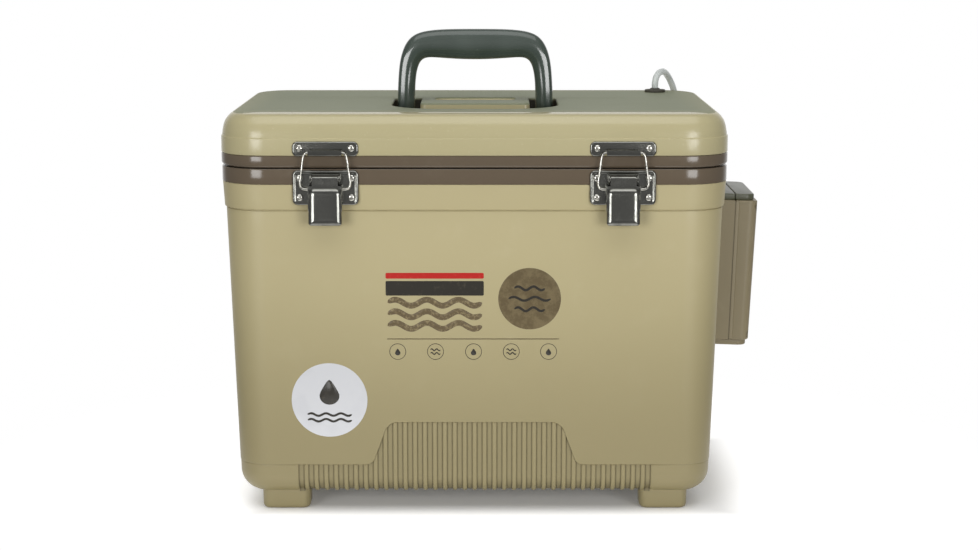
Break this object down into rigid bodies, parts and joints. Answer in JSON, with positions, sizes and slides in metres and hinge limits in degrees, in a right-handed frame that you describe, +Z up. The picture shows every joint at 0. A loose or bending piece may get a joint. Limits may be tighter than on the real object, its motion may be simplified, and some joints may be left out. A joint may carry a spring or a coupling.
{
  "type": "aerated bait bucket",
  "caption": "Insulated hard-sided live bait box with hinged lid, folding top handle, draw latches and a battery air pump with tube and air stone.",
  "frame": {"origin": "middle of the whole box on the ground plane under the feet, pump and latches included", "axes": "+X towards the end wall with the pump, +Y towards the hinges, +Z up; the latches face -Y"},
  "size_m": [0.4639, 0.3054, 0.4077],
  "materials": {
    "tan_plastic": "fine grained moulded plastic",
    "lid_plastic": "fine grained moulded plastic",
    "brown_plastic": "satin moulded plastic",
    "liner_plastic": "smooth moulded plastic",
    "foam": "foamed polyurethane",
    "label": "printed film",
    "gasket_rubber": "soft rubber",
    "handle_plastic": "semi gloss moulded plastic",
    "pressed_steel": "plated pressed sheet",
    "wire_steel": "plated wire and turned pins",
    "screw_steel": "plated screws",
    "bracket_plastic": "moulded plastic",
    "pump_plastic": "fine grained moulded plastic",
    "pump_cap_plastic": "satin moulded plastic",
    "cell_sleeve": "shrink sleeve",
    "board": "lacquered circuit board",
    "black_plastic": "moulded plastic",
    "motor_steel": "drawn can",
    "white_plastic": "moulded plastic",
    "tube_vinyl": "translucent soft vinyl",
    "stone": "bonded grit"
  },
  "bodies": {
    "tub": {"tub_outer_shell": "tan_plastic", "tub_insulation": "foam", "tub_liner": "liner_plastic", "tub_rim_frame": "brown_plastic", "capacity_label": "label", "latch_base_plate_left": "pressed_steel", "latch_base_plate_right": "pressed_steel", "latch_base_screws": "screw_steel", "latch_lever_pins": "wire_steel", "hinge_tub_leaves": "pressed_steel", "hinge_pins": "wire_steel", "hinge_tub_screws": "screw_steel", "pump_bracket": "bracket_plastic", "pump_bracket_screws": "screw_steel", "pump_inner_case": "pump_plastic", "pump_outer_case": "pump_plastic", "pump_seal": "gasket_rubber", "pump_cap": "pump_cap_plastic", "pump_base_cap": "pump_plastic", "pump_case_screws": "screw_steel", "pump_battery_cells": "cell_sleeve", "pump_circuit_board": "board", "pump_charge_socket": "motor_steel", "pump_switch": "black_plastic", "pump_motor": "motor_steel", "pump_diaphragm": "gasket_rubber", "pump_head": "white_plastic", "pump_nozzle": "black_plastic", "air_tube_outside": "tube_vinyl", "air_tube_inside": "tube_vinyl", "air_stone": "stone"},
    "lid": {"lid_outer_shell": "lid_plastic", "lid_trim_band": "brown_plastic", "lid_insulation": "foam", "lid_liner": "liner_plastic", "lid_gasket": "gasket_rubber", "handle_pins": "wire_steel", "latch_keeper_left": "pressed_steel", "latch_keeper_right": "pressed_steel", "latch_keeper_screws": "screw_steel", "hinge_lid_leaves": "pressed_steel", "hinge_lid_screws": "screw_steel", "tube_grommet": "gasket_rubber"},
    "handle": {"handle": "handle_plastic"},
    "latch_lever_left": {"latch_lever_left": "pressed_steel"},
    "latch_lever_right": {"latch_lever_right": "pressed_steel"},
    "latch_bail_left": {"latch_bail_left": "wire_steel"},
    "latch_bail_right": {"latch_bail_right": "wire_steel"},
    "pump_cam": {"pump_cam": "white_plastic"},
    "pump_button": {"pump_button": "black_plastic"}
  },
  "joints": [
    {"name": "lid_hinge", "type": "hinge", "parent": "tub", "child": "lid", "pos_m": [-0.01755, 0.14755, 0.2985], "axis": [-1, 0, 0], "range_deg": [0, 100], "deforming": ["air_tube_outside", "air_tube_inside"]},
    {"name": "handle_fold", "type": "hinge", "parent": "lid", "child": "handle", "pos_m": [-0.01755, 0.00335, 0.3335], "axis": [1, 0, 0], "range_deg": [0, 90]},
    {"name": "latch_lever_left", "type": "hinge", "parent": "tub", "child": "latch_lever_left", "pos_m": [-0.14155, -0.14265, 0.2902], "axis": [-1, 0, 0], "range_deg": [0, 85]},
    {"name": "latch_bail_left", "type": "hinge", "parent": "latch_lever_left", "child": "latch_bail_left", "pos_m": [-0.14155, -0.14265, 0.2817], "axis": [-1, 0, 0], "range_deg": [-65, 0]},
    {"name": "latch_lever_right", "type": "hinge", "parent": "tub", "child": "latch_lever_right", "pos_m": [0.10645, -0.14265, 0.2902], "axis": [-1, 0, 0], "range_deg": [0, 85]},
    {"name": "latch_bail_right", "type": "hinge", "parent": "latch_lever_right", "child": "latch_bail_right", "pos_m": [0.10645, -0.14265, 0.2817], "axis": [-1, 0, 0], "range_deg": [-65, 0]},
    {"name": "pump_cam_spin", "type": "hinge", "parent": "tub", "child": "pump_cam", "pos_m": [0.21336, -0.00325, 0.24341], "axis": [0, 1, 0], "continuous": true},
    {"name": "pump_button_press", "type": "slide", "parent": "tub", "child": "pump_button", "axis": [-0.9994, 0, 0.0349], "range_m": [0, 0.001], "stiffness_N_per_m": 600}
  ],
  "couplings": [
    {"joint": "latch_bail_left", "follows": "latch_lever_left", "ratio": -0.76},
    {"joint": "latch_bail_right", "follows": "latch_lever_right", "ratio": -0.76}
  ]
}
